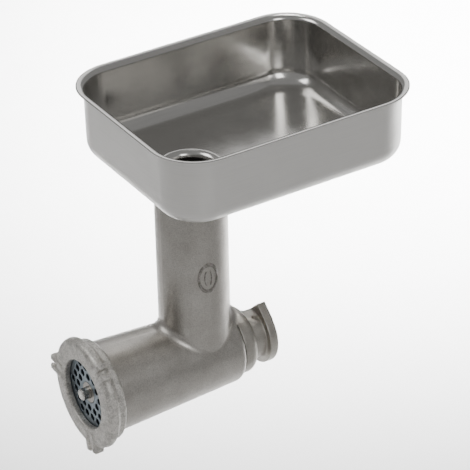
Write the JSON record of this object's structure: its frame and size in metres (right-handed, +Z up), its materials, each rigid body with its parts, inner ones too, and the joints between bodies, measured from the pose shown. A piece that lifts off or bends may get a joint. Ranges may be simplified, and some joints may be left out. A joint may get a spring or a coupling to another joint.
{
  "type": "meat mincer head",
  "caption": "Meat grinder head: cast housing with feed neck and barrel, steel tray, worm, knife, holed plate, lugged ring nut and a rear drive hub.",
  "frame": {"origin": "where the worm's axis meets the rear face of the hub flange", "axes": "+Y along the worm's axis towards the driving machine, -Y towards the outlet, +Z up the feed neck to the tray, +X to the right seen from the outlet"},
  "size_m": [0.1872, 0.2763, 0.2966],
  "materials": {
    "housing_casting": "bead-blasted, tinned, warm grey",
    "hub_casting": "machined and lightly blasted",
    "ring_casting": "rough as-cast, light warm grey",
    "worm_casting": "tinned casting",
    "plate_steel": "ground flat, bluish",
    "blade_steel": "ground",
    "turned_steel": "turned",
    "screw_steel": "blackened",
    "bush_bronze": "turned bronze",
    "seal_rubber": "moulded",
    "washer_plastic": "turned nylon",
    "tray_steel": "satin outside, polished inside"
  },
  "bodies": {
    "head": {"housing": "housing_casting", "plate_locating_pin": "turned_steel", "hub_adapter": "hub_casting", "hub_grub_screw_top": "screw_steel", "hub_grub_screw_left": "screw_steel", "hub_grub_screw_bottom": "screw_steel", "hub_seal": "seal_rubber", "rear_bush": "bush_bronze", "thrust_washer": "washer_plastic"},
    "worm_set": {"worm": "worm_casting", "worm_stud": "turned_steel", "stud_pin": "turned_steel", "knife": "blade_steel", "drive_coupling": "turned_steel", "coupling_pin": "turned_steel"},
    "plate_set": {"mincing_plate": "plate_steel", "plate_bush": "bush_bronze"},
    "nut": {"ring_nut": "ring_casting"},
    "tray_set": {"tray": "tray_steel", "tray_spout": "tray_steel"}
  },
  "joints": [
    {"name": "worm_spin", "type": "hinge", "parent": "head", "child": "worm_set", "pos_m": [0, -0.066, 0], "axis": [0, 1, 0], "continuous": true},
    {"name": "plate_travel", "type": "slide", "parent": "head", "child": "plate_set", "axis": [0, -1, 0], "range_m": [0, 0.012]},
    {"name": "ring_nut_turn", "type": "hinge", "parent": "plate_set", "child": "nut", "pos_m": [0, -0.166, 0], "axis": [0, -1, 0], "range_deg": [0, 1080]},
    {"name": "tray_lift", "type": "slide", "parent": "head", "child": "tray_set", "axis": [0, 0, 1], "range_m": [0, 0.045]}
  ],
  "couplings": [
    {"joint": "plate_travel", "follows": "ring_nut_turn", "m_per_rad": 0.00063662}
  ]
}
